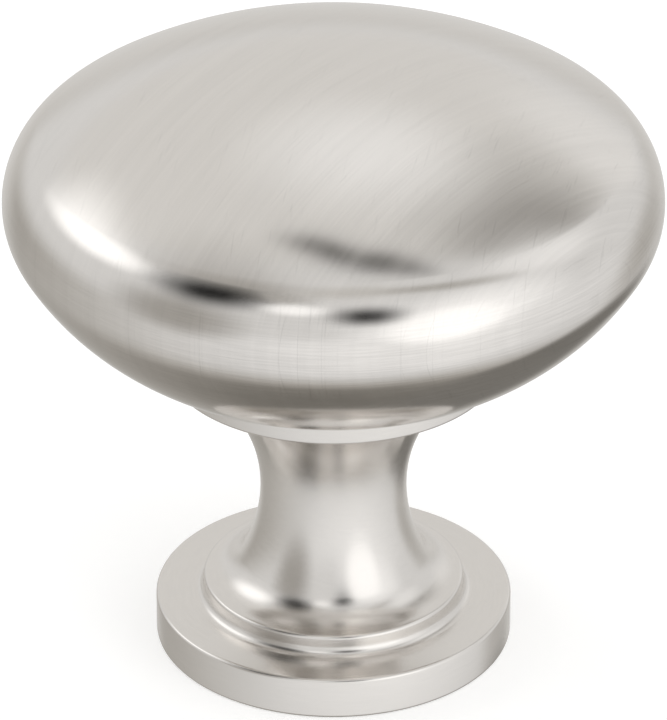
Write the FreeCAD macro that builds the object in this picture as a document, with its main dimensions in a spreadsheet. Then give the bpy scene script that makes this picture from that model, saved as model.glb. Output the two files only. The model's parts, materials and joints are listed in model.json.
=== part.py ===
import FreeCAD, Part
import math
import os
import Sketcher

# A mushroom-headed cabinet knob, all one solid: a stepped round foot, a waisted neck, a collar
# and a domed head, with a tapped blind hole up the middle for the screw that holds it.
# The foot stands on Z = 0 and the knob's axis is Z. Lengths are in millimetres, angles in degrees.

ORIGIN = -1
Z_AXIS = -2
START = 1
END = 2
CENTRE = 3

SIZES = (
    ("head_diameter", 31.75, "across the head at its widest"),
    ("overall_height", 31.3, "from the mounting face to the crown"),
    ("crown_rise", 7.38, "crown above the head's widest place"),
    ("head_edge_radius", 3.78, "roll of the head's outer edge"),
    ("underside_radius", 13.3, "bowl of the head's underside"),
    ("collar_diameter", 16.44, "collar under the head"),
    ("collar_height", 14.97, "from the mounting face to the collar"),
    ("collar_band", 1.11, "straight side of the collar"),
    ("collar_ledge", 0.225, "level ring under the collar, outside the flare"),
    ("collar_flare_radius", 2.4, "neck turning out under the collar"),
    ("neck_diameter", 7.15, "neck at its narrowest"),
    ("foot_flare_radius", 2.1, "neck turning out over the step"),
    ("flare_room", 0.8, "most that a flare takes of the room beside the neck"),
    ("step_diameter", 12.76, "raised step of the foot"),
    ("step_rise", 1.02, "step above the disc"),
    ("step_fillet", 0.5, "hollow between the step and the disc"),
    ("disc_diameter", 17.4625, "disc of the foot"),
    ("disc_thickness", 2.15, "disc of the foot"),
    ("edge_rounding", 0.18, "polished outer edges"),
    ("collar_fillet", 0.25, "hollow between the collar and the head"),
    ("tap_drill_diameter", 3.454, "hole before tapping, number 8 screw with 32 threads to the inch"),
    ("tap_drill_depth", 12.7, "full depth of the hole, without the drill's point"),
    ("drill_point_angle", 118.0, "cone left by the drill"),
    ("mouth_chamfer", 0.573, "width of the countersink round the hole"),
    ("mouth_angle", 90.0, "countersink round the hole"),
)
CELLS = {name: f"<<sizes>>.{name}" for name, _, _ in SIZES}


def add_sheet(doc):
    """Put every size in a spreadsheet cell with its own name."""
    sheet = doc.addObject("Spreadsheet::Sheet", "sizes")
    for row, (name, value, meaning) in enumerate(SIZES, start=1):
        sheet.set(f"A{row}", name)
        sheet.set(f"B{row}", str(value))
        sheet.set(f"C{row}", meaning)
        sheet.setAlias(f"B{row}", name)
    doc.recompute()
    return sheet


def tie(thing, setting, formula):
    """Tie a setting to the sheet: the formula has the names of sizes in braces."""
    thing.setExpression(setting, formula.format(**CELLS))


def origin_plane(body, role):
    """Return the plane of the body's own origin that has this role."""
    for feature in body.Origin.OriginFeatures:
        if feature.Role == role:
            return feature
    raise ValueError(f"the body has no {role}")


def add_sketch(body, name, role):
    """Start a sketch on one of the body's origin planes."""
    sketch = body.newObject("Sketcher::SketchObject", name)
    sketch.AttachmentSupport = [(origin_plane(body, role), "")]
    sketch.MapMode = "FlatFace"
    return sketch


def add_dimension(sketch, name, constraint, formula):
    """Add a dimension to a sketch and tie it to the sheet."""
    index = sketch.addConstraint(Sketcher.Constraint(*constraint))
    sketch.renameConstraint(index, name)
    tie(sketch, f"Constraints.{name}", formula)


def point(x, z):
    """A point of the section: x from the axis, z above the mounting face."""
    return FreeCAD.Vector(x, z, 0)


def circles_meet(first, first_radius, second, second_radius):
    """Return where two circles cross, on the right of the line from the first to the second."""
    between = second - first
    gap = between.Length
    along = (first_radius ** 2 - second_radius ** 2 + gap ** 2) / (2 * gap)
    across = math.sqrt(first_radius ** 2 - along ** 2)
    forward = between * (1 / gap)
    rightward = FreeCAD.Vector(forward.y, -forward.x, 0)
    return first + forward * along + rightward * across


def touch_point(outer_centre, outer_radius, inner_centre):
    """Return where a circle touches a larger one from inside."""
    away = (inner_centre - outer_centre).normalize()
    return outer_centre + away * outer_radius


def hollow_between(narrowest, high, high_radius, low, low_radius):
    """Return the centre and radius of the neck's arc.

    It is narrowest from the axis at its nearest point, and runs into the flares above and below
    it, which have their centres at high and low.
    """
    high_gap = high.x - high_radius - narrowest
    low_gap = low.x - low_radius - narrowest
    rise = high.y - low.y
    square = 1 / (2 * high_gap) - 1 / (2 * low_gap)
    linear = rise / high_gap
    constant = rise ** 2 / (2 * high_gap) + high_radius + high_gap / 2 - low_radius - low_gap / 2
    above_low = 2 * constant / (linear + math.sqrt(linear ** 2 - 4 * square * constant))
    radius = low_radius + low_gap / 2 + above_low ** 2 / (2 * low_gap)
    return point(narrowest + radius, low.y + above_low), radius


def arc(centre, first, last, turn):
    """An arc about centre from first to last: turn +1 runs anticlockwise, -1 clockwise."""
    radius = (first - centre).Length
    start = math.atan2(first.y - centre.y, first.x - centre.x)
    stop = math.atan2(last.y - centre.y, last.x - centre.x)
    if turn < 0:
        start, stop = stop, start
    circle = Part.Circle(centre, FreeCAD.Vector(0, 0, 1), radius)
    return Part.ArcOfCircle(circle, start, stop)


def draw_section(sketch, sheet):
    """Draw half the knob's section, from the axis out along the foot and back up to the crown."""
    disc_rim = point(sheet.disc_diameter / 2, 0)
    disc_edge = point(sheet.disc_diameter / 2, sheet.disc_thickness)
    step_root = point(sheet.step_diameter / 2, sheet.disc_thickness)
    step_edge = step_root + point(0, sheet.step_rise)

    crown = point(0, sheet.overall_height)
    rim_centre = point(sheet.head_diameter / 2 - sheet.head_edge_radius, crown.y - sheet.crown_rise)
    collar_edge = point(sheet.collar_diameter / 2, sheet.collar_height)
    collar_top = collar_edge + point(0, sheet.collar_band)
    ledge_start = collar_edge - point(sheet.collar_ledge, 0)

    # Both flares end level, so each centre is straight above or below the end.
    neck_radius = sheet.neck_diameter / 2
    foot_room = step_edge.x - neck_radius
    foot_flare_radius = min(sheet.foot_flare_radius, sheet.flare_room * foot_room)
    foot_flare_centre = step_edge + point(0, foot_flare_radius)
    collar_room = ledge_start.x - neck_radius
    collar_flare_radius = min(sheet.collar_flare_radius, sheet.flare_room * collar_room)
    collar_flare_centre = ledge_start - point(0, collar_flare_radius)
    neck_centre, neck_sweep = hollow_between(
        neck_radius, collar_flare_centre, collar_flare_radius, foot_flare_centre, foot_flare_radius
    )
    neck_foot = touch_point(neck_centre, neck_sweep, foot_flare_centre)
    neck_top = touch_point(neck_centre, neck_sweep, collar_flare_centre)

    underside_centre = circles_meet(
        rim_centre, sheet.underside_radius - sheet.head_edge_radius, collar_top, sheet.underside_radius
    )
    rim_foot = touch_point(underside_centre, sheet.underside_radius, rim_centre)

    # The crown is one arc about the axis that runs into the rolled edge.
    crown_radius = (rim_centre.x ** 2 + sheet.crown_rise ** 2 - sheet.head_edge_radius ** 2) / (
        2 * (sheet.crown_rise - sheet.head_edge_radius)
    )
    crown_centre = crown - point(0, crown_radius)
    rim_top = touch_point(crown_centre, crown_radius, rim_centre)

    add = sketch.addGeometry
    foot_face = add(Part.LineSegment(point(0, 0), disc_rim))
    disc_side = add(Part.LineSegment(disc_rim, disc_edge))
    disc_top = add(Part.LineSegment(disc_edge, step_root))
    step_side = add(Part.LineSegment(step_root, step_edge))
    foot_flare = add(arc(foot_flare_centre, step_edge, neck_foot, -1))
    neck = add(arc(neck_centre, neck_foot, neck_top, -1))
    collar_flare = add(arc(collar_flare_centre, neck_top, ledge_start, -1))
    collar_face = add(Part.LineSegment(ledge_start, collar_edge))
    collar_side = add(Part.LineSegment(collar_edge, collar_top))
    underside = add(arc(underside_centre, collar_top, rim_foot, 1))
    rim = add(arc(rim_centre, rim_foot, rim_top, 1))
    dome = add(arc(crown_centre, rim_top, crown, 1))
    axis = add(Part.LineSegment(crown, point(0, 0)))
    waist = add(Part.LineSegment(point(neck_radius, neck_centre.y), neck_centre), True)

    # A clockwise arc is stored from its last point to its first.
    joins = (
        ("Coincident", foot_face, END, disc_side, START),
        ("Coincident", disc_side, END, disc_top, START),
        ("Coincident", disc_top, END, step_side, START),
        ("Coincident", step_side, END, foot_flare, END),
        ("Tangent", foot_flare, START, neck, END),
        ("Tangent", neck, START, collar_flare, END),
        ("Tangent", collar_flare, START, collar_face, START),
        ("Coincident", collar_face, END, collar_side, START),
        ("Coincident", collar_side, END, underside, START),
        ("Tangent", underside, END, rim, START),
        ("Tangent", rim, END, dome, START),
        ("Coincident", dome, END, axis, START),
        ("Coincident", axis, END, foot_face, START),
        ("Coincident", foot_face, START, ORIGIN, START),
        ("Coincident", waist, END, neck, CENTRE),
        ("PointOnObject", waist, START, neck),
        ("PointOnObject", dome, CENTRE, Z_AXIS),
        ("Vertical", foot_flare, CENTRE, step_side, END),
        ("Vertical", axis),
        ("Horizontal", foot_face),
        ("Vertical", disc_side),
        ("Horizontal", disc_top),
        ("Vertical", step_side),
        ("Horizontal", waist),
        ("Horizontal", collar_face),
        ("Vertical", collar_side),
    )
    for join in joins:
        sketch.addConstraint(Sketcher.Constraint(*join))

    reaches = (
        ("disc_reach", disc_side, START, disc_rim.x, "{disc_diameter} / 2"),
        ("step_reach", step_side, START, step_root.x, "{step_diameter} / 2"),
        ("neck_reach", waist, START, neck_radius, "{neck_diameter} / 2"),
        ("collar_reach", collar_side, START, collar_edge.x, "{collar_diameter} / 2"),
        ("rim_centre_reach", rim, CENTRE, rim_centre.x, "{head_diameter} / 2 - {head_edge_radius}"),
    )
    for name, line, end, value, formula in reaches:
        add_dimension(sketch, name, ("DistanceX", ORIGIN, START, line, end, value), formula)
    ledge = ("DistanceX", collar_face, START, collar_face, END, sheet.collar_ledge)
    add_dimension(sketch, "ledge_width", ledge, "{collar_ledge}")

    # Each height runs upwards from its first point to its second.
    heights = (
        ("disc_height", ORIGIN, START, disc_side, END, "disc_thickness"),
        ("step_height", step_side, START, step_side, END, "step_rise"),
        ("collar_level", ORIGIN, START, collar_side, START, "collar_height"),
        ("band_height", collar_side, START, collar_side, END, "collar_band"),
        ("crown_height", rim, CENTRE, axis, START, "crown_rise"),
        ("knob_height", ORIGIN, START, axis, START, "overall_height"),
    )
    for name, low_line, low_end, high_line, high_end, size in heights:
        height = ("DistanceY", low_line, low_end, high_line, high_end, sheet.getPropertyByName(size))
        add_dimension(sketch, name, height, f"{{{size}}}")

    foot_flare_formula = (
        "min({foot_flare_radius}; {flare_room} * ({step_diameter} - {neck_diameter}) / 2)"
    )
    collar_flare_formula = (
        "min({collar_flare_radius};"
        " {flare_room} * (({collar_diameter} - {neck_diameter}) / 2 - {collar_ledge}))"
    )
    radii = (
        ("foot_flare_arc", foot_flare, foot_flare_radius, foot_flare_formula),
        ("collar_flare_arc", collar_flare, collar_flare_radius, collar_flare_formula),
        ("underside_arc", underside, sheet.underside_radius, "{underside_radius}"),
        ("rim_arc", rim, sheet.head_edge_radius, "{head_edge_radius}"),
    )
    for name, line, value, formula in radii:
        add_dimension(sketch, name, ("Radius", line, value), formula)


def ring_edge(shape, radius, height):
    """Return the name of the round edge about the axis that has this radius and height."""
    for number, edge in enumerate(shape.Edges, start=1):
        if not isinstance(edge.Curve, Part.Circle):
            continue
        level = edge.Curve.Center.z
        if abs(edge.Curve.Radius - radius) < 0.001 and abs(level - height) < 0.001:
            return f"Edge{number}"
    raise ValueError(f"no round edge of radius {radius} at height {height}")


def add_fillet(body, name, rings, size):
    """Round the edges at these (radius, height) pairs by a size of the sheet."""
    base = body.Tip
    edges = [ring_edge(base.Shape, radius, height) for radius, height in rings]
    fillet = body.newObject("PartDesign::Fillet", name)
    fillet.Base = (base, edges)
    tie(fillet, "Radius", f"{{{size}}}")
    body.Document.recompute()


def add_knob_body(doc, sheet):
    """The whole knob: the turned section, its rounded edges and the hole for the screw."""
    body = doc.addObject("PartDesign::Body", "knob_body")
    body.Label = "knob_body"

    section = add_sketch(body, "section", "XZ_Plane")
    draw_section(section, sheet)
    doc.recompute()
    turned = body.newObject("PartDesign::Revolution", "turned")
    turned.Profile = section
    turned.ReferenceAxis = (section, ["V_Axis"])
    turned.Angle = 360
    doc.recompute()

    disc_radius = sheet.disc_diameter / 2
    step_radius = sheet.step_diameter / 2
    collar_radius = sheet.collar_diameter / 2
    outer_edges = (
        (disc_radius, 0),
        (disc_radius, sheet.disc_thickness),
        (step_radius, sheet.disc_thickness + sheet.step_rise),
        (collar_radius, sheet.collar_height),
    )
    add_fillet(body, "edges", outer_edges, "edge_rounding")
    add_fillet(body, "step_hollow", [(step_radius, sheet.disc_thickness)], "step_fillet")
    collar_top = sheet.collar_height + sheet.collar_band
    add_fillet(body, "collar_hollow", [(collar_radius, collar_top)], "collar_fillet")
    add_screw_hole(body, sheet)
    return body


def add_screw_hole(body, sheet):
    """Drill the blind hole up from the mounting face, the plane that its circle is drawn on."""
    mouth = add_sketch(body, "hole_centre", "XY_Plane")
    ring = mouth.addGeometry(Part.Circle(point(0, 0), FreeCAD.Vector(0, 0, 1), sheet.tap_drill_diameter / 2))
    mouth.addConstraint(Sketcher.Constraint("Coincident", ring, CENTRE, ORIGIN, START))
    add_dimension(mouth, "hole", ("Diameter", ring, sheet.tap_drill_diameter), "{tap_drill_diameter}")
    body.Document.recompute()

    undrilled_volume = body.Shape.Volume
    hole = body.newObject("PartDesign::Hole", "screw_hole")
    hole.Profile = mouth
    body.Document.recompute()
    hole.Reversed = True
    hole.DepthType = "Dimension"
    hole.DrillPoint = "Angled"
    hole.HoleCutType = "Countersink"
    tie(hole, "Diameter", "{tap_drill_diameter}")
    tie(hole, "Depth", "{tap_drill_depth}")
    tie(hole, "DrillPointAngle", "{drill_point_angle}")
    tie(hole, "HoleCutDiameter", "{tap_drill_diameter} + 2 * {mouth_chamfer}")
    tie(hole, "HoleCutCountersinkAngle", "{mouth_angle}")
    body.Document.recompute()

    drilled_volume = undrilled_volume - body.Shape.Volume
    straight_volume = math.pi * (sheet.tap_drill_diameter / 2) ** 2 * sheet.tap_drill_depth
    if drilled_volume < straight_volume:
        raise ValueError(f"the hole takes out {drilled_volume:.2f} cubic mm, less than its straight part")


def check_and_write(doc, parts):
    """Stop at a failed feature, then write one file for each piece."""
    for thing in doc.Objects:
        if "Invalid" in thing.State or "Error" in thing.State:
            raise RuntimeError(f"{thing.Label} did not build: {thing.State}")
    for part in parts:
        if part.Shape.isNull() or not part.Shape.isValid():
            raise RuntimeError(f"{part.Label} has no valid shape")
    os.makedirs("parts", exist_ok=True)
    for part in parts:
        part.Shape.exportStep(f"parts/{part.Label}.step")
        box = part.Shape.optimalBoundingBox(False)
        print(
            f"{part.Label}: {len(part.Shape.Solids)} solid, {part.Shape.Volume:.1f} cubic mm,"
            f" {box.XLength:.3f} x {box.YLength:.3f} x {box.ZLength:.3f} mm"
        )


def main():
    doc = FreeCAD.newDocument("cabinet_knob")
    sheet = add_sheet(doc)
    knob = add_knob_body(doc, sheet)
    doc.recompute()
    check_and_write(doc, [knob])


main()
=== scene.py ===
import json
import math
from typing import NamedTuple

import bpy
from bpy.props import FloatProperty, FloatVectorProperty, IntProperty, PointerProperty
from mathutils import Euler, Matrix, Vector


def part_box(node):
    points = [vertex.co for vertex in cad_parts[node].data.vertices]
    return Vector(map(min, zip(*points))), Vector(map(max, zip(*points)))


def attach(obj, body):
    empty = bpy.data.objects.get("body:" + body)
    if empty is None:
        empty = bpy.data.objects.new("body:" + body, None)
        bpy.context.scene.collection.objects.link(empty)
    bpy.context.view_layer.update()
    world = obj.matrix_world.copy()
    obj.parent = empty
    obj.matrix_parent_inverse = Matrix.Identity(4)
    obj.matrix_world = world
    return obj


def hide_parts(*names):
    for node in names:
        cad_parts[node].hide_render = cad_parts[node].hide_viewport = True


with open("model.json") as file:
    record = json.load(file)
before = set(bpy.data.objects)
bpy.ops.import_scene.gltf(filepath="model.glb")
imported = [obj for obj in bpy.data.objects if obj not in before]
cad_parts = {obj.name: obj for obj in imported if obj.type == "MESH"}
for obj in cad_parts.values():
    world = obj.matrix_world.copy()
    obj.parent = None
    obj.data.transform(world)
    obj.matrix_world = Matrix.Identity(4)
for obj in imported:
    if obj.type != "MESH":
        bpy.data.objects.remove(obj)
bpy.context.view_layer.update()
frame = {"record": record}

bl_info = {
    "name": "Cabinet knob",
    "version": (1, 0, 0),
    "blender": (4, 5, 0),
    "location": "3D View > Sidebar > Cabinet knob",
    "description": "A turned mushroom knob in satin nickel, with its tapped hole and a plain studio",
    "category": "Object",
}

# The knob's axis is Z and its foot stands on Z = 0. Lengths are in metres unless a name says otherwise.
MM = 0.001
# Points nearer than this are one.
WELD = 0.001 * MM
NODE = "knob_body"
BODY = "root"
NODE_LOW, NODE_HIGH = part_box(NODE)
SCREW_HOLE = next(m for m in frame["record"]["mounts"] if m["kind"] == "threaded_hole")
HOLE_RADIUS = SCREW_HOLE["dims"]["r_mm"] * MM
DRILL_HALF_ANGLE = math.radians(59)
THREAD_HALF_ANGLE = math.radians(30)

# Steps along the section's arcs, in degrees.
CORNER_STEP = 15
ROOT_STEP = 10
FLARE_STEP = 4
NECK_STEP = 2.5
BOWL_STEP = 1.8
RIM_STEP = 3
CROWN_STEP = 1.2


def length(name, default, description):
    """A length in metres that a user may change."""
    return FloatProperty(
        name=name, description=description, default=default, min=0, unit="LENGTH", subtype="DISTANCE",
        precision=5,
    )


class KnobSizes(bpy.types.PropertyGroup):
    """Sizes of the turned section, the same as the construction's."""

    head_diameter: length("Head", NODE_HIGH.x - NODE_LOW.x, "Across the head at its widest")
    overall_height: length("Height", NODE_HIGH.z, "From the mounting face to the crown")
    crown_rise: length("Crown", 7.38 * MM, "Crown above the head's widest place")
    head_edge_radius: length("Head edge", 3.78 * MM, "Roll of the head's outer edge")
    underside_radius: length("Underside", 13.3 * MM, "Bowl of the head's underside")
    collar_diameter: length("Collar", 16.44 * MM, "Collar under the head")
    collar_height: length("Collar height", 14.97 * MM, "From the mounting face to the collar")
    collar_band: length("Collar band", 1.11 * MM, "Straight side of the collar")
    collar_ledge: length("Collar ledge", 0.225 * MM, "Level ring under the collar, outside the flare")
    collar_flare: length("Collar flare", 2.4 * MM, "Neck turning out under the collar")
    neck_diameter: length("Neck", 7.15 * MM, "Neck at its narrowest")
    foot_flare: length("Foot flare", 2.1 * MM, "Neck turning out over the step")
    step_diameter: length("Step", 12.76 * MM, "Raised step of the foot")
    step_rise: length("Step rise", 1.02 * MM, "Step above the disc")
    step_hollow: length("Step hollow", 0.5 * MM, "Hollow between the step and the disc")
    disc_diameter: length("Disc", 17.4625 * MM, "Disc of the foot")
    disc_thickness: length("Disc thickness", 2.15 * MM, "Disc of the foot")
    edge_rounding: length("Edge rounding", 0.18 * MM, "Polished outer edges")
    collar_hollow: length("Collar hollow", 0.25 * MM, "Hollow between the collar and the head")
    hole_depth: length("Hole depth", 12.7 * MM, "Straight part of the hole")
    mouth_chamfer: length("Mouth chamfer", 0.573 * MM, "Width of the countersink round the hole")
    segments: IntProperty(name="Segments", description="Faces round the knob", default=288, min=24)


class ThreadSizes(bpy.types.PropertyGroup):
    """The thread in the hole, for a number 8 screw with 32 threads to the inch."""

    pitch: length("Pitch", 25.4 * MM / 32, "From one turn to the next")
    major_diameter: length("Major diameter", 4.166 * MM, "Bottom of the thread's grooves")
    tapped_depth: length("Tapped depth", 10.9 * MM, "How far up the thread runs")
    segments: IntProperty(name="Segments", description="Faces in one turn", default=48, min=12)


class NickelFinish(bpy.types.PropertyGroup):
    """Brushed and plated satin nickel."""

    colour: FloatVectorProperty(
        name="Nickel", description="Colour of the plating", subtype="COLOR", size=3, min=0, max=1,
        default=(0.76, 0.735, 0.705),
    )
    roughness: FloatProperty(
        name="Head roughness", description="Softness of the head's sheen", default=0.14, min=0, max=1
    )
    foot_roughness: FloatProperty(
        name="Foot roughness", description="Softness of the sheen from the collar down", default=0.2,
        min=0, max=1,
    )


class StudioSettings(bpy.types.PropertyGroup):
    """Floor, lamps and camera."""

    floor_colour: FloatVectorProperty(
        name="Floor", description="Colour of the floor", subtype="COLOR", size=3, min=0, max=1,
        default=(0.86, 0.86, 0.855),
    )
    floor_glow: FloatProperty(
        name="Floor white", description="Lifts the floor to white where the camera sees it", default=0.36,
        min=0,
    )
    sky: FloatProperty(name="Room light", description="Even light from all round", default=0.8, min=0)
    camera_distance: length("Camera distance", 0.36, "From the camera to the point it looks at")
    camera_elevation: FloatProperty(
        name="Camera elevation", description="Camera's angle above the floor", subtype="ANGLE",
        unit="ROTATION", default=math.radians(29.545),
    )
    camera_aim: length("Camera aim", 15 * MM, "Height on the knob's axis that the camera looks at")
    camera_lens: FloatProperty(
        name="Lens", description="Focal length", subtype="DISTANCE_CAMERA", unit="CAMERA", default=371.46
    )


def point(x, z):
    """A point of the section: x from the axis, z above the mounting face."""
    return Vector((x, 0, z))


def circles_meet(first, first_radius, second, second_radius):
    """Return where two circles of the section cross, on the right of the way from first to second."""
    between = second - first
    gap = between.length
    along = (first_radius ** 2 - second_radius ** 2 + gap ** 2) / (2 * gap)
    across = math.sqrt(first_radius ** 2 - along ** 2)
    forward = between / gap
    rightward = point(forward.z, -forward.x)
    return first + forward * along + rightward * across


def touch_point(outer_centre, outer_radius, inner_centre):
    """Return where a circle touches a larger one from inside."""
    return outer_centre + (inner_centre - outer_centre).normalized() * outer_radius


def hollow_between(narrowest, high, high_radius, low, low_radius):
    """Return the centre and radius of the neck's arc, which runs into the flares at its two ends."""
    high_gap = high.x - high_radius - narrowest
    low_gap = low.x - low_radius - narrowest
    rise = high.z - low.z
    square = 1 / (2 * high_gap) - 1 / (2 * low_gap)
    linear = rise / high_gap
    constant = rise ** 2 / (2 * high_gap) + high_radius + high_gap / 2 - low_radius - low_gap / 2
    above_low = 2 * constant / (linear + math.sqrt(linear ** 2 - 4 * square * constant))
    radius = low_radius + low_gap / 2 + above_low ** 2 / (2 * low_gap)
    return point(narrowest + radius, low.z + above_low), radius


def new_vertex(name, place):
    """Start a mesh with one selected vertex, in edit mode, its object at the origin."""
    bpy.ops.object.select_all(action="DESELECT")
    bpy.ops.mesh.primitive_plane_add(size=MM, location=place)
    piece = bpy.context.object
    piece.name = name
    piece.data.name = name
    bpy.ops.object.transform_apply(location=True, rotation=True, scale=True)
    bpy.ops.object.mode_set(mode="EDIT")
    bpy.ops.mesh.select_all(action="SELECT")
    bpy.ops.mesh.merge(type="CENTER")
    return piece


def wind_about_axis(piece, segments, rise=0.0, turns=1):
    """Wind a section drawn in edit mode about Z into a closed skin, with faces pointing outwards."""
    bpy.ops.object.mode_set(mode="OBJECT")
    winding = piece.modifiers.new("winding", "SCREW")
    winding.axis = "Z"
    winding.angle = 2 * math.pi
    winding.screw_offset = rise
    winding.iterations = turns
    winding.steps = segments
    winding.render_steps = segments
    bpy.ops.object.modifier_apply(modifier=winding.name)
    bpy.ops.object.mode_set(mode="EDIT")
    bpy.ops.mesh.select_all(action="SELECT")
    bpy.ops.mesh.remove_doubles(threshold=WELD)
    bpy.ops.mesh.normals_make_consistent(inside=False)
    bpy.ops.object.mode_set(mode="OBJECT")


class Outline:
    """Draws a section in edit mode by extruding its last vertex along lines and round arcs."""

    def __init__(self, name, start):
        self.piece = new_vertex(name, start)
        self.end = start

    def line_to(self, place):
        bpy.ops.mesh.extrude_region_move(TRANSFORM_OT_translate={"value": place - self.end})
        self.end = place

    def arc_to(self, place, centre, turn, step):
        """Follow an arc about centre as far as place, in steps of about so many degrees.

        A turn of +1 runs anticlockwise seen from the front, and -1 clockwise.
        """
        before, after = self.end - centre, place - centre
        start = math.atan2(before.z, before.x)
        sweep = (math.atan2(after.z, after.x) - start) * turn % (2 * math.pi)
        steps = max(2, math.ceil(math.degrees(sweep) / step))
        bpy.ops.mesh.spin(steps=steps, angle=sweep, center=centre, axis=(0, turn, 0))
        self.end = place


def draw_section(sizes):
    """Draw half the knob's section, from the tip of the hole round the foot and up to the crown."""
    mouth_radius = HOLE_RADIUS + sizes.mouth_chamfer
    edge = sizes.edge_rounding
    disc_radius = sizes.disc_diameter / 2
    step_radius = sizes.step_diameter / 2
    step_top = sizes.disc_thickness + sizes.step_rise
    collar_radius = sizes.collar_diameter / 2
    collar_top = point(collar_radius, sizes.collar_height + sizes.collar_band)
    crown = point(0, sizes.overall_height)
    rim_centre = point(sizes.head_diameter / 2 - sizes.head_edge_radius, crown.z - sizes.crown_rise)

    # The hole: the drill's point, the wall and the countersink.
    outline = Outline("knob", point(0, sizes.hole_depth + HOLE_RADIUS / math.tan(DRILL_HALF_ANGLE)))
    outline.line_to(point(HOLE_RADIUS, sizes.hole_depth))
    outline.line_to(point(HOLE_RADIUS, sizes.mouth_chamfer))
    outline.line_to(point(mouth_radius, 0))

    # The foot: a disc with rounded edges, a hollow and a step.
    outline.line_to(point(disc_radius - edge, 0))
    outline.arc_to(point(disc_radius, edge), point(disc_radius - edge, edge), 1, CORNER_STEP)
    outline.line_to(point(disc_radius, sizes.disc_thickness - edge))
    disc_corner = point(disc_radius - edge, sizes.disc_thickness - edge)
    outline.arc_to(disc_corner + point(0, edge), disc_corner, 1, CORNER_STEP)
    hollow_centre = point(step_radius + sizes.step_hollow, sizes.disc_thickness + sizes.step_hollow)
    outline.line_to(hollow_centre - point(0, sizes.step_hollow))
    outline.arc_to(hollow_centre - point(sizes.step_hollow, 0), hollow_centre, -1, ROOT_STEP)

    # The step's rounded edge runs straight into the foot's flare.
    flare_centre = point(step_radius, step_top + sizes.foot_flare)
    step_corner_drop = math.sqrt((sizes.foot_flare + edge) ** 2 - edge ** 2)
    step_corner = flare_centre - point(edge, step_corner_drop)
    outline.line_to(step_corner + point(edge, 0))
    flare_start = flare_centre + (step_corner - flare_centre).normalized() * sizes.foot_flare
    outline.arc_to(flare_start, step_corner, 1, CORNER_STEP)

    # The neck and its two flares.
    ledge_start = point(collar_radius - sizes.collar_ledge, sizes.collar_height)
    collar_flare_centre = ledge_start - point(0, sizes.collar_flare)
    neck_centre, neck_sweep = hollow_between(
        sizes.neck_diameter / 2, collar_flare_centre, sizes.collar_flare, flare_centre, sizes.foot_flare
    )
    neck_low = touch_point(neck_centre, neck_sweep, flare_centre)
    neck_high = touch_point(neck_centre, neck_sweep, collar_flare_centre)
    outline.arc_to(neck_low, flare_centre, -1, FLARE_STEP)
    outline.arc_to(neck_high, neck_centre, -1, NECK_STEP)
    outline.arc_to(ledge_start, collar_flare_centre, -1, FLARE_STEP)

    # The collar, and the hollow where it meets the head.
    collar_corner = point(collar_radius - edge, sizes.collar_height + edge)
    outline.line_to(collar_corner - point(0, edge))
    outline.arc_to(collar_corner + point(edge, 0), collar_corner, 1, CORNER_STEP)
    underside_centre = circles_meet(
        rim_centre, sizes.underside_radius - sizes.head_edge_radius, collar_top, sizes.underside_radius
    )
    root_x = collar_radius + sizes.collar_hollow
    root_reach = sizes.underside_radius + sizes.collar_hollow
    root_drop = math.sqrt(root_reach ** 2 - (root_x - underside_centre.x) ** 2)
    root_centre = point(root_x, underside_centre.z - root_drop)
    outline.line_to(root_centre - point(sizes.collar_hollow, 0))
    underside_start = touch_point(underside_centre, sizes.underside_radius, root_centre)
    outline.arc_to(underside_start, root_centre, -1, ROOT_STEP)

    # The head: its bowl, rolled edge and crown.
    underside_end = touch_point(underside_centre, sizes.underside_radius, rim_centre)
    outline.arc_to(underside_end, underside_centre, 1, BOWL_STEP)
    crown_radius = (rim_centre.x ** 2 + sizes.crown_rise ** 2 - sizes.head_edge_radius ** 2) / (
        2 * (sizes.crown_rise - sizes.head_edge_radius)
    )
    crown_centre = crown - point(0, crown_radius)
    outline.arc_to(touch_point(crown_centre, crown_radius, rim_centre), rim_centre, 1, RIM_STEP)
    outline.arc_to(crown, crown_centre, 1, CROWN_STEP)
    return outline.piece


class KNOB_OT_turn_body(bpy.types.Operator):
    """Draw the knob's section and turn it about the axis"""

    bl_idname = "knob.turn_body"
    bl_label = "Turn the knob"
    bl_options = {"REGISTER", "UNDO"}

    def execute(self, context):
        sizes = context.scene.knob_sizes
        knob = draw_section(sizes)
        wind_about_axis(knob, sizes.segments)
        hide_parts(NODE)
        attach(knob, BODY)
        return {"FINISHED"}


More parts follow.
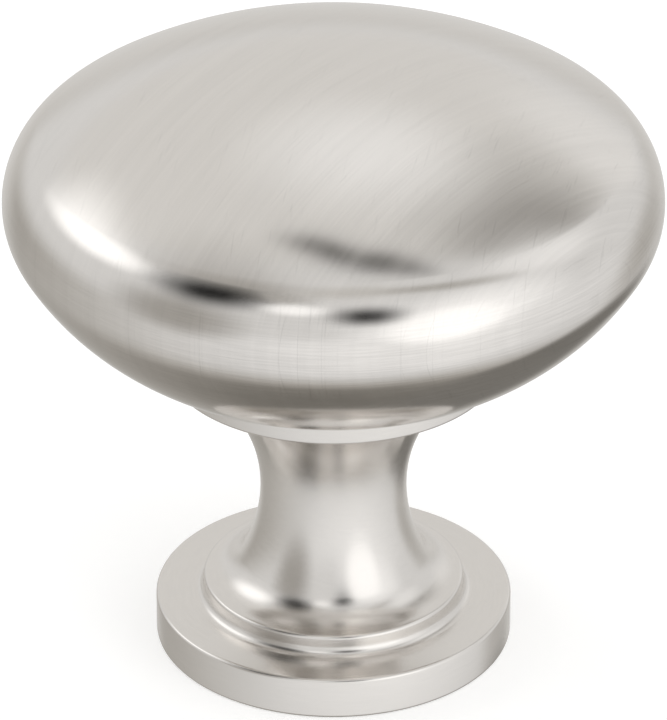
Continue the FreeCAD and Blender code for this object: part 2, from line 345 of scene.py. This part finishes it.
class KNOB_OT_tap_hole(bpy.types.Operator):
    """Cut the screw's thread into the hole"""

    bl_idname = "knob.tap_hole"
    bl_label = "Tap the hole"
    bl_options = {"REGISTER", "UNDO"}

    # The tap's rod is thinner than the hole, so that only its ridge cuts.
    ROD_SHARE = 0.9
    # Turns of the ridge that run out below the mouth, and are cut off.
    SPARE_TURNS = 2
    CUT_WELD = 0.1 * WELD

    def execute(self, context):
        thread = context.scene.knob_thread
        knob = bpy.data.objects["knob"]
        tap = self.make_tap(thread)
        bpy.ops.object.select_all(action="DESELECT")
        context.view_layer.objects.active = knob
        knob.select_set(True)
        cut = knob.modifiers.new("thread", "BOOLEAN")
        cut.operation = "DIFFERENCE"
        cut.solver = "EXACT"
        cut.object = tap
        bpy.ops.object.modifier_apply(modifier=cut.name)
        bpy.data.objects.remove(tap)
        bpy.ops.object.mode_set(mode="EDIT")
        bpy.ops.mesh.select_all(action="SELECT")
        bpy.ops.mesh.remove_doubles(threshold=self.CUT_WELD)
        bpy.ops.object.mode_set(mode="OBJECT")
        return {"FINISHED"}

    def make_tap(self, thread):
        """A tap: a rod inside the hole with one sharp ridge wound round it."""
        rod_radius = self.ROD_SHARE * HOLE_RADIUS
        major_radius = thread.major_diameter / 2
        half_flat = thread.pitch / 16
        half_root = half_flat + (major_radius - rod_radius) * math.tan(THREAD_HALF_ANGLE)
        below = -self.SPARE_TURNS * thread.pitch
        middle = below + thread.pitch / 2
        ridge = Outline("tap", point(rod_radius, below))
        ridge.line_to(point(rod_radius, middle - half_root))
        ridge.line_to(point(major_radius, middle - half_flat))
        ridge.line_to(point(major_radius, middle + half_flat))
        ridge.line_to(point(rod_radius, middle + half_root))
        ridge.line_to(point(rod_radius, below + thread.pitch))
        turns = math.ceil((thread.tapped_depth - below) / thread.pitch) + 1
        wind_about_axis(ridge.piece, thread.segments, thread.pitch, turns)

        # The ends are cut level and closed.
        bpy.ops.object.mode_set(mode="EDIT")
        for height, outer in ((-thread.pitch / 2, False), (thread.tapped_depth, True)):
            bpy.ops.mesh.select_all(action="SELECT")
            bpy.ops.mesh.bisect(
                plane_co=(0, 0, height), plane_no=(0, 0, 1), threshold=WELD,
                clear_inner=not outer, clear_outer=outer,
            )
            bpy.ops.mesh.edge_face_add()
        bpy.ops.mesh.select_all(action="SELECT")
        bpy.ops.mesh.normals_make_consistent(inside=False)
        bpy.ops.object.mode_set(mode="OBJECT")
        return ridge.piece


def new_material(name):
    """An empty node material."""
    material = bpy.data.materials.new(name)
    material.use_nodes = True
    material.node_tree.nodes.clear()
    return material


class Wiring:
    """Adds and joins the nodes of one tree."""

    NODE_SPACING = 190
    # Most of what a noise gives lies between these two.
    NOISE_LOW, NOISE_HIGH = 0.3, 0.7

    def __init__(self, tree):
        self.tree = tree

    def node(self, kind, settings=None, **inputs):
        """Add a node; an input is a value, or a socket to join.

        An input is called by its name, with underscores for spaces, or by i and its number.
        """
        made = self.tree.nodes.new(kind)
        for name, value in (settings or {}).items():
            setattr(made, name, value)
        for name, value in inputs.items():
            number = name[1:]
            socket = made.inputs[int(number) if number.isdigit() else name.replace("_", " ")]
            if isinstance(value, bpy.types.NodeSocket):
                self.tree.links.new(value, socket)
            else:
                socket.default_value = value
        made.location = (len(self.tree.nodes) * self.NODE_SPACING, 0)
        return made

    def maths(self, operation, first, second=0.0, third=0.0):
        """One Math node's result."""
        made = self.node("ShaderNodeMath", {"operation": operation}, i0=first, i1=second, i2=third)
        return made.outputs[0]

    def mix(self, share, first, second):
        """Go from first to second as share goes from none to one."""
        return self.node("ShaderNodeMix", {"data_type": "FLOAT"}, i0=share, i2=first, i3=second).outputs[0]

    def dot(self, direction, other):
        """How far one vector socket lies along a fixed vector."""
        made = self.node("ShaderNodeVectorMath", {"operation": "DOT_PRODUCT"}, i0=direction, i1=other)
        return made.outputs["Value"]

    def ramp(self, value, start, end, low=0.0, high=1.0):
        """Run smoothly from low to high while the value goes from start to end."""
        return self.node(
            "ShaderNodeMapRange", {"interpolation_type": "SMOOTHSTEP"}, Value=value, From_Min=start,
            From_Max=end, To_Min=low, To_Max=high,
        ).outputs[0]

    def spread(self, noise, middle, reach):
        """Spread a noise evenly about middle, as far as reach to each side."""
        return self.ramp(noise, self.NOISE_LOW, self.NOISE_HIGH, middle - reach, middle + reach)

    def output(self, shader, kind="ShaderNodeOutputMaterial"):
        """End the tree with this shader."""
        self.node(kind, Surface=shader)


def new_group(name, inputs, outputs):
    """A shader node group with float or vector sockets; return it with its wiring and input sockets."""
    group = bpy.data.node_groups.new(name, "ShaderNodeTree")
    for socket_name, socket_type, default in inputs:
        socket = group.interface.new_socket(socket_name, in_out="INPUT", socket_type=socket_type)
        if default is not None:
            socket.default_value = default
    for socket_name, socket_type in outputs:
        group.interface.new_socket(socket_name, in_out="OUTPUT", socket_type=socket_type)
    wiring = Wiring(group)
    return group, wiring, group.nodes.new("NodeGroupInput").outputs


def hairline_group():
    """Fine brushed lines that run round an axis: a noise stretched along the turn."""
    group, wiring, given = new_group(
        "hairlines",
        [
            ("Vector", "NodeSocketVector", None),
            ("Spacing", "NodeSocketFloat", 0.2 * MM),
            ("Around", "NodeSocketFloat", 6.0),
            ("Height", "NodeSocketFloat", 1.0),
        ],
        [("Value", "NodeSocketFloat")],
    )
    parts = wiring.node("ShaderNodeSeparateXYZ", Vector=given["Vector"]).outputs
    level = wiring.node("ShaderNodeCombineXYZ", X=parts["X"], Y=parts["Y"]).outputs[0]
    out = wiring.node("ShaderNodeVectorMath", {"operation": "LENGTH"}, i0=level).outputs["Value"]
    facing = wiring.node("ShaderNodeVectorMath", {"operation": "NORMALIZE"}, i0=level).outputs[0]
    turn = wiring.node("ShaderNodeVectorMath", {"operation": "SCALE"}, i0=facing, Scale=given["Around"])
    ring = wiring.maths("DIVIDE", out, given["Spacing"])
    place = wiring.node("ShaderNodeSeparateXYZ", Vector=turn.outputs[0]).outputs
    cell = wiring.node("ShaderNodeCombineXYZ", X=place["X"], Y=place["Y"], Z=ring).outputs[0]
    rise = wiring.maths("MULTIPLY", wiring.maths("DIVIDE", parts["Z"], given["Spacing"]), given["Height"])
    noise = wiring.node(
        "ShaderNodeTexNoise", {"noise_dimensions": "4D"}, Vector=cell, W=rise, Scale=1.0, Detail=3.0,
        Roughness=0.6,
    )
    group_out = wiring.node("NodeGroupOutput")
    group.links.new(noise.outputs[0], group_out.inputs["Value"])
    return group


def soft_disc_group():
    """A round mask on Object coordinates: one in the middle, falling to nothing at the edge."""
    group, wiring, given = new_group(
        "soft_disc",
        [
            ("Centre", "NodeSocketVector", None),
            ("Radius", "NodeSocketFloat", 1.0),
            ("Edge", "NodeSocketFloat", 0.5),
        ],
        [("Value", "NodeSocketFloat")],
    )
    place = wiring.node("ShaderNodeTexCoord").outputs["Object"]
    away = wiring.node("ShaderNodeVectorMath", {"operation": "DISTANCE"}, i0=place, i1=given["Centre"])
    out = wiring.maths("DIVIDE", away.outputs["Value"], given["Radius"])
    mask = wiring.node(
        "ShaderNodeMapRange", {"interpolation_type": "SMOOTHSTEP"}, Value=out, From_Min=1.0, To_Min=0.0,
        To_Max=1.0,
    )
    group.links.new(wiring.maths("SUBTRACT", 1.0, given["Edge"]), mask.inputs["From Max"])
    group_out = wiring.node("NodeGroupOutput")
    group.links.new(mask.outputs[0], group_out.inputs["Value"])
    return group


class Nickel:
    """A satin nickel under way: its wiring, and the fine lines that brushing and turning leave."""

    # Places in millimetres: the knob's axis, and the upright axes that the crown's lines turn about.
    AXIS = (0, 0, 0)
    BRUSH_PIVOT = (115, -96, 0)
    SCRATCH_PIVOT = (145, -39, 0)
    LINE_DEPTH = 0.003 * MM
    # With a tangent that runs round the axis, a quarter turn draws the sheen across the rings.
    SHEEN_TURN = 0.25

    def __init__(self, name, hairlines):
        self.material = new_material(name)
        self.wiring = Wiring(self.material.node_tree)
        self.place = self.wiring.node("ShaderNodeTexCoord").outputs["Object"]
        self.hairlines = hairlines

    def lines(self, pivot, spacing, around, height=0.0):
        """Lines round an upright axis through pivot; the higher around is, the shorter they are."""
        offset = tuple(-part * MM for part in pivot)
        vector = self.wiring.node("ShaderNodeMapping", Vector=self.place, Location=offset).outputs[0]
        return self.wiring.node(
            "ShaderNodeGroup", {"node_tree": self.hairlines}, Vector=vector, Spacing=spacing, Around=around,
            Height=height,
        ).outputs[0]

    def finish(self, colour, tone, relief, roughness, anisotropy=0.0):
        """Join tone, relief and roughness to the shader."""
        wiring = self.wiring
        bump = wiring.node("ShaderNodeBump", Strength=1.0, Distance=self.LINE_DEPTH, Height=relief)
        shade = wiring.node(
            "ShaderNodeVectorMath", {"operation": "SCALE"}, i0=tuple(colour), Scale=tone
        ).outputs[0]
        shader = wiring.node(
            "ShaderNodeBsdfPrincipled", Base_Color=shade, Metallic=1.0, Roughness=roughness,
            Normal=bump.outputs[0], Anisotropic=anisotropy, Anisotropic_Rotation=self.SHEEN_TURN,
        )
        if anisotropy:
            around = wiring.node("ShaderNodeTangent", {"direction_type": "RADIAL", "axis": "Z"}).outputs[0]
            wiring.tree.links.new(around, shader.inputs["Tangent"])
        wiring.output(shader.outputs[0])
        return self.material


def brushed_nickel(finish, hairlines):
    """The head: brushed over the crown in long shallow arcs and round its edge, with a few scratches."""
    nickel = Nickel("nickel_brushed", hairlines)
    wiring = nickel.wiring
    fine_arcs = nickel.lines(nickel.BRUSH_PIVOT, spacing=0.12 * MM, around=25.0)
    broad_arcs = nickel.lines(nickel.BRUSH_PIVOT, spacing=0.8 * MM, around=12.0)
    long_arcs = nickel.lines(nickel.BRUSH_PIVOT, spacing=0.1 * MM, around=45.0)
    cross_arcs = nickel.lines(nickel.SCRATCH_PIVOT, spacing=0.14 * MM, around=60.0)
    rings = nickel.lines(nickel.AXIS, spacing=0.09 * MM, around=5.0, height=1.0)

    # Rings round the rolled edge give way to arcs on the crown.
    edge_height, crown_height = 24.5 * MM, 27 * MM
    height = wiring.node("ShaderNodeSeparateXYZ", Vector=nickel.place).outputs["Z"]
    on_crown = wiring.ramp(height, edge_height, crown_height)
    brushing = wiring.mix(on_crown, rings, fine_arcs)
    # Only the strongest of these two sets of lines show, as scratches.
    cross_scratches = wiring.ramp(cross_arcs, start=0.59, end=0.69)
    long_scratches = wiring.ramp(long_arcs, start=0.62, end=0.72)
    scratches = wiring.maths("ADD", cross_scratches, long_scratches)

    edge_depth, crown_depth, scratch_depth = 0.2, 0.05, 0.06
    depth = wiring.mix(on_crown, edge_depth, crown_depth)
    brushed = wiring.maths("MULTIPLY", brushing, depth)
    relief = wiring.maths("MULTIPLY_ADD", scratches, scratch_depth, brushed)
    roughness = wiring.maths("ADD", finish.roughness, wiring.spread(broad_arcs, 0.0, reach=0.01))

    edge_contrast, crown_contrast, broad_contrast, scratch_contrast = 0.035, 0.015, 0.022, 0.06
    contrast = wiring.mix(on_crown, edge_contrast, crown_contrast)
    tone = wiring.maths("MULTIPLY_ADD", wiring.spread(brushing, 0.0, reach=1.0), contrast, 1.0)
    tone = wiring.maths("MULTIPLY", tone, wiring.spread(broad_arcs, 1.0, reach=broad_contrast))
    tone = wiring.maths("SUBTRACT", tone, wiring.maths("MULTIPLY", scratches, scratch_contrast))

    # The brushing bears harder towards one side of the head.
    across = wiring.dot(nickel.place, (0.45, -0.9, 0))
    pressure = wiring.ramp(across, 3 * MM, 13 * MM, low=0.6, high=1.35)
    tone = wiring.maths("MULTIPLY_ADD", wiring.maths("SUBTRACT", tone, 1.0), pressure, 1.0)
    return nickel.finish(finish.colour, tone, relief, roughness)


def turned_nickel(finish, hairlines):
    """Collar, neck and foot: fine rings from the lathe, which draw the sheen out across them."""
    nickel = Nickel("nickel_turned", hairlines)
    wiring = nickel.wiring
    rings = nickel.lines(nickel.AXIS, spacing=0.1 * MM, around=9.0, height=1.0)
    ring_depth, ring_contrast, ring_softness = 0.12, 0.015, 0.02
    relief = wiring.maths("MULTIPLY", rings, ring_depth)
    roughness = wiring.maths("ADD", finish.foot_roughness, wiring.spread(rings, 0.0, reach=ring_softness))
    tone = wiring.spread(rings, 1.0, reach=ring_contrast)
    return nickel.finish(finish.colour, tone, relief, roughness, anisotropy=0.75)


class KNOB_OT_plate_nickel(bpy.types.Operator):
    """Smooth the knob and give it its satin nickel"""

    bl_idname = "knob.plate_nickel"
    bl_label = "Plate the knob"
    bl_options = {"REGISTER", "UNDO"}

    SHARP_ANGLE = math.radians(30)

    def execute(self, context):
        knob = bpy.data.objects["knob"]
        bpy.ops.object.select_all(action="DESELECT")
        context.view_layer.objects.active = knob
        knob.select_set(True)
        bpy.ops.object.shade_smooth_by_angle(angle=self.SHARP_ANGLE)
        evened = knob.modifiers.new("evened", "WEIGHTED_NORMAL")
        evened.keep_sharp = True
        bpy.ops.object.modifier_apply(modifier=evened.name)
        finish = context.scene.knob_finish
        hairlines = hairline_group()
        knob.data.materials.clear()
        knob.data.materials.append(brushed_nickel(finish, hairlines))
        knob.data.materials.append(turned_nickel(finish, hairlines))
        # The second finish is for what lies below the head.
        sizes = context.scene.knob_sizes
        collar_top = sizes.collar_height + sizes.collar_band
        for face in knob.data.polygons:
            face.material_index = int(face.center.z < collar_top)
        return {"FINISHED"}


# The middle of the head, which lamps and cards are turned to.
MIDDLE = Vector((0, 0, 22 * MM))


def outward(azimuth, elevation):
    """The direction at an azimuth from the camera's side, positive to its right, in degrees."""
    around, above = math.radians(azimuth), math.radians(elevation)
    return Vector((
        math.sin(around) * math.cos(above), -math.cos(around) * math.cos(above), math.sin(above)
    ))


def face_knob(thing, azimuth, elevation, distance, roll=0):
    """Put a lamp or a card in its place with its front to the knob, hidden from the camera.

    Roll turns it in its own plane, in degrees.
    """
    thing.location = MIDDLE + outward(azimuth, elevation) * distance
    turned = Euler((math.radians(90 - elevation), 0, math.radians(azimuth))).to_matrix()
    thing.rotation_euler = (turned @ Matrix.Rotation(math.radians(roll), 3, "Z")).to_euler()
    thing.visible_camera = False


def card_colour(level):
    """Grey of the given brightness, a little warmer where it is dark."""
    more_red, less_blue = 0.06, 0.1
    warmth = max(0.0, 1 - level)
    return (level * (1 + more_red * warmth), level, level * (1 - less_blue * warmth), 1)


def angle_size(degrees, distance):
    """The width that looks so many degrees wide at a distance."""
    return 2 * distance * math.tan(math.radians(degrees) / 2)


class Card(NamedTuple):
    """A soft round card: its place and size in degrees seen from the knob, and its distance in metres."""

    name: str
    azimuth: float
    elevation: float
    width: float
    height: float
    level: float
    # The share of the radius over which the card fades out.
    fade: float
    distance: float
    roll: float = 0


# What the polish mirrors. A nearer card covers those behind it.
CARDS = (
    Card("window_card", -110, 36, 60, 34, level=1.5, fade=0.7, distance=1.65, roll=17),
    Card("canopy", 179, 51.5, 83, 83, level=0.78, fade=0.14, distance=1.6),
    Card("key_card", 38, 8, 54, 56, level=1.38, fade=0.55, distance=1.5),
    Card("right_card", 98, 42, 44, 46, level=0.98, fade=0.8, distance=1.5),
    Card("back_card", 171, 60, 50, 46, level=0.97, fade=0.9, distance=1.5),
    Card("wall_card", -178, -14, 92, 60, level=0.7, fade=0.7, distance=1.5),
    Card("wall_glint", 178, -30, 26, 16, level=0.95, fade=0.8, distance=1.45),
    Card("canopy_end", 148, 20, 36, 34, level=0.88, fade=0.8, distance=1.5),
    Card("front_card", -15, 42, 28, 22, level=1.3, fade=0.8, distance=1.45),
    Card("grey_left", -53, 9, 62, 66, level=0.41, fade=0.8, distance=1.45),
    Card("haze_left", -61, 64, 62, 42, level=0.45, fade=0.9, distance=1.45),
    Card("haze_front", 10, 69, 42, 28, level=0.64, fade=0.9, distance=1.45),
    Card("haze_middle", -32, 56, 36, 22, level=0.5, fade=0.9, distance=1.45),
    Card("side_shade", 128, -20, 46, 50, level=0.5, fade=0.9, distance=1.45),
    Card("floor_shade", 142, -55, 48, 54, level=0.2, fade=0.5, distance=1.4),
    Card("smudge", 57, 58, 60, 16, level=0.47, fade=0.9, distance=1.4, roll=-44.5),
    Card("flag_left", -52, 46.5, 52, 50, level=0, fade=0.9, distance=1.4),
    Card("flag_front", 12.5, 34, 33, 38, level=0, fade=0.9, distance=1.4),
    Card("strip_left", -150, 87, 26, 7, level=0.05, fade=0.8, distance=1.4, roll=127),
    Card("strip_middle", 88, 80.5, 8, 29, level=0.05, fade=0.8, distance=1.4),
)


class KNOB_OT_set_studio(bpy.types.Operator):
    """Lay the floor, hang the lamps and cards, and set the camera"""

    bl_idname = "knob.set_studio"
    bl_label = "Set the studio"
    bl_options = {"REGISTER", "UNDO"}

    def execute(self, context):
        studio = context.scene.knob_studio
        bpy.ops.object.select_all(action="DESELECT")
        self.lay_floor(context.scene)
        self.light_room(context.scene, studio)
        self.add_lamp("key_lamp", azimuth=44, elevation=10, width=34, height=34, level=1.45)
        self.add_lamp("window_lamp", azimuth=-107, elevation=37, width=40, height=18, level=1.3)
        disc = soft_disc_group()
        for card in CARDS:
            self.add_card(disc, card)
        self.shade_canopy(disc, bpy.data.objects["canopy"])
        self.aim_camera(context.scene, studio)
        return {"FINISHED"}

    def lay_floor(self, scene):
        """A floor with a hole under the foot, so that the mounting face is seen from below."""
        inner, outer, drop = 8.4 * MM, 1.2, 0.02 * MM
        bpy.ops.mesh.primitive_circle_add(
            vertices=96, radius=inner, fill_type="NOTHING", location=(0, 0, -drop)
        )
        floor = bpy.context.object
        floor.name = "floor"
        bpy.ops.object.mode_set(mode="EDIT")
        bpy.ops.mesh.select_all(action="SELECT")
        bpy.ops.mesh.extrude_region_move()
        bpy.ops.transform.resize(value=(outer / inner, outer / inner, 1))
        bpy.ops.mesh.select_all(action="SELECT")
        bpy.ops.mesh.normals_make_consistent(inside=False)
        bpy.ops.object.mode_set(mode="OBJECT")
        if floor.data.polygons[0].normal.z < 0:
            floor.data.flip_normals()
        floor.data.materials.append(self.floor_material(scene.knob_studio))
        floor.visible_glossy = False

    def floor_material(self, studio):
        """White paper that keeps the shadow, and is clear from underneath."""
        material = new_material("white_paper")
        wiring = Wiring(material.node_tree)
        path = wiring.node("ShaderNodeLightPath").outputs
        seen = wiring.maths("MAXIMUM", path["Is Camera Ray"], path["Is Glossy Ray"])
        seen = wiring.maths("MAXIMUM", seen, path["Is Transmission Ray"])
        glow = wiring.maths("MULTIPLY", seen, studio.floor_glow)
        paper = wiring.node("ShaderNodeBsdfDiffuse", Color=(*studio.floor_colour, 1)).outputs[0]
        lift = wiring.node("ShaderNodeEmission", Strength=glow).outputs[0]
        lit = wiring.node("ShaderNodeAddShader", i0=paper, i1=lift).outputs[0]
        clear = wiring.node("ShaderNodeBsdfTransparent").outputs[0]
        behind = wiring.node("ShaderNodeNewGeometry").outputs["Backfacing"]
        wiring.output(wiring.node("ShaderNodeMixShader", i0=behind, i1=lit, i2=clear).outputs[0])
        return material

    def light_room(self, scene, studio):
        """Even light with a glow at the key card, and below the horizon the floor that the polish shows."""
        scene.world = bpy.data.worlds.new("room")
        scene.world.use_nodes = True
        tree = scene.world.node_tree
        tree.nodes.clear()
        wiring = Wiring(tree)
        direction = wiring.node("ShaderNodeTexCoord").outputs["Generated"]
        height = wiring.node("ShaderNodeSeparateXYZ", Vector=direction).outputs["Z"]

        key_glow = 0.35
        towards_key = wiring.dot(direction, outward(45, 8))
        above = wiring.ramp(towards_key, 0.65, 1.0, low=studio.sky, high=studio.sky + key_glow)

        # The floor is lighter at the front right, and dark round the foot, nearly straight below.
        floor_level, floor_slope, dark_level = 0.73, 0.31, 0.19
        dark_start, dark_end = math.radians(5), math.radians(54)
        forwards = wiring.dot(direction, outward(30, 0))
        below = wiring.maths("MULTIPLY_ADD", forwards, floor_slope, floor_level)
        from_dark = wiring.maths("ARCCOSINE", wiring.dot(direction, outward(180, -78)))
        below = wiring.mix(wiring.ramp(from_dark, dark_start, dark_end), dark_level, below)

        level = wiring.mix(wiring.ramp(height, -0.2, 0.2), below, above)
        warmth = wiring.ramp(level, 0.1, 0.9, low=1.0, high=0.0)
        white, warm = (1, 1, 1, 1), (1.06, 1, 0.9, 1)
        tint = wiring.node("ShaderNodeMix", {"data_type": "RGBA"}, i0=warmth, i6=white, i7=warm).outputs[2]
        back = wiring.node("ShaderNodeBackground", Color=tint, Strength=level).outputs[0]
        wiring.output(back, "ShaderNodeOutputWorld")

    def add_lamp(self, name, azimuth, elevation, width, height, level):
        """A soft box whose face has the given brightness, hidden from the polish."""
        distance = 0.6
        bpy.ops.object.light_add(type="AREA")
        lamp = bpy.context.object
        lamp.name = name
        lamp.data.shape = "RECTANGLE"
        lamp.data.size = angle_size(width, distance)
        lamp.data.size_y = angle_size(height, distance)
        lamp.data.energy = level * math.pi * lamp.data.size * lamp.data.size_y
        face_knob(lamp, azimuth, elevation, distance)
        lamp.visible_glossy = False

    def add_card(self, disc, card):
        """A soft-edged card that only shows in the polish."""
        bpy.ops.mesh.primitive_circle_add(vertices=48, radius=1, fill_type="NGON")
        board = bpy.context.object
        board.name = card.name
        across = angle_size(card.width, card.distance)
        upward = angle_size(card.height, card.distance)
        board.scale = (across / 2, upward / 2, 1)
        face_knob(board, card.azimuth, card.elevation, card.distance, card.roll)
        board.visible_diffuse = False
        board.visible_transmission = False
        board.visible_volume_scatter = False
        board.visible_shadow = False
        material = new_material(card.name)
        wiring = Wiring(material.node_tree)
        mask = wiring.node("ShaderNodeGroup", {"node_tree": disc}, Edge=card.fade).outputs[0]
        clear = wiring.node("ShaderNodeBsdfTransparent").outputs[0]
        face = wiring.node("ShaderNodeEmission", Color=card_colour(card.level)).outputs[0]
        wiring.output(wiring.node("ShaderNodeMixShader", i0=mask, i1=clear, i2=face).outputs[0])
        board.data.materials.append(material)

    def shade_canopy(self, disc, canopy):
        """Darken the round canopy softly along its edge towards the front right."""
        # Places on the canopy run from -1 to 1, the first to the left and the second up to the zenith.
        centre, radius, fade, level = (-0.97, 0.39, 0), 0.9, 0.95, 0.24
        tree = canopy.data.materials[0].node_tree
        wiring = Wiring(tree)
        face = next(node for node in tree.nodes if node.type == "EMISSION")
        mask = wiring.node(
            "ShaderNodeGroup", {"node_tree": disc}, Centre=centre, Radius=radius, Edge=fade
        ).outputs[0]
        pale, dark = tuple(face.inputs["Color"].default_value), card_colour(level)
        shaded = wiring.node("ShaderNodeMix", {"data_type": "RGBA"}, i0=mask, i6=pale, i7=dark).outputs[2]
        tree.links.new(shaded, face.inputs["Color"])

    def aim_camera(self, scene, studio):
        """Put the camera in front of the knob, looking down at it."""
        bpy.ops.object.camera_add()
        camera = bpy.context.object
        camera.name = "camera"
        camera.data.sensor_width = 36
        camera.data.lens = studio.camera_lens
        camera.data.clip_start = 0.01
        camera.data.clip_end = 3
        across = studio.camera_distance * math.cos(studio.camera_elevation)
        above = studio.camera_distance * math.sin(studio.camera_elevation)
        camera.location = (0, -across, studio.camera_aim + above)
        camera.rotation_euler = (math.pi / 2 - studio.camera_elevation, 0, 0)
        scene.camera = camera


class KNOB_PT_panel(bpy.types.Panel):
    """The knob's steps and sizes, in the sidebar"""

    bl_label = "Cabinet knob"
    bl_idname = "KNOB_PT_panel"
    bl_space_type = "VIEW_3D"
    bl_region_type = "UI"
    bl_category = "Cabinet knob"

    def draw(self, context):
        for operator in OPERATORS:
            self.layout.operator(operator.bl_idname)
        for group in ("knob_sizes", "knob_thread", "knob_finish", "knob_studio"):
            settings = getattr(context.scene, group)
            box = self.layout.box()
            for name in settings.__annotations__:
                box.prop(settings, name)


OPERATORS = (KNOB_OT_turn_body, KNOB_OT_tap_hole, KNOB_OT_plate_nickel, KNOB_OT_set_studio)
CLASSES = (KnobSizes, ThreadSizes, NickelFinish, StudioSettings, *OPERATORS, KNOB_PT_panel)


def register():
    for cls in CLASSES:
        bpy.utils.register_class(cls)
    bpy.types.Scene.knob_sizes = PointerProperty(type=KnobSizes)
    bpy.types.Scene.knob_thread = PointerProperty(type=ThreadSizes)
    bpy.types.Scene.knob_finish = PointerProperty(type=NickelFinish)
    bpy.types.Scene.knob_studio = PointerProperty(type=StudioSettings)


def unregister():
    del bpy.types.Scene.knob_studio
    del bpy.types.Scene.knob_finish
    del bpy.types.Scene.knob_thread
    del bpy.types.Scene.knob_sizes
    for cls in reversed(CLASSES):
        bpy.utils.unregister_class(cls)


def main():
    register()
    bpy.context.scene.view_settings.view_transform = "Standard"
    bpy.ops.knob.turn_body()
    bpy.ops.knob.tap_hole()
    bpy.ops.knob.plate_nickel()
    bpy.ops.knob.set_studio()


if __name__ == "__main__":
    main()
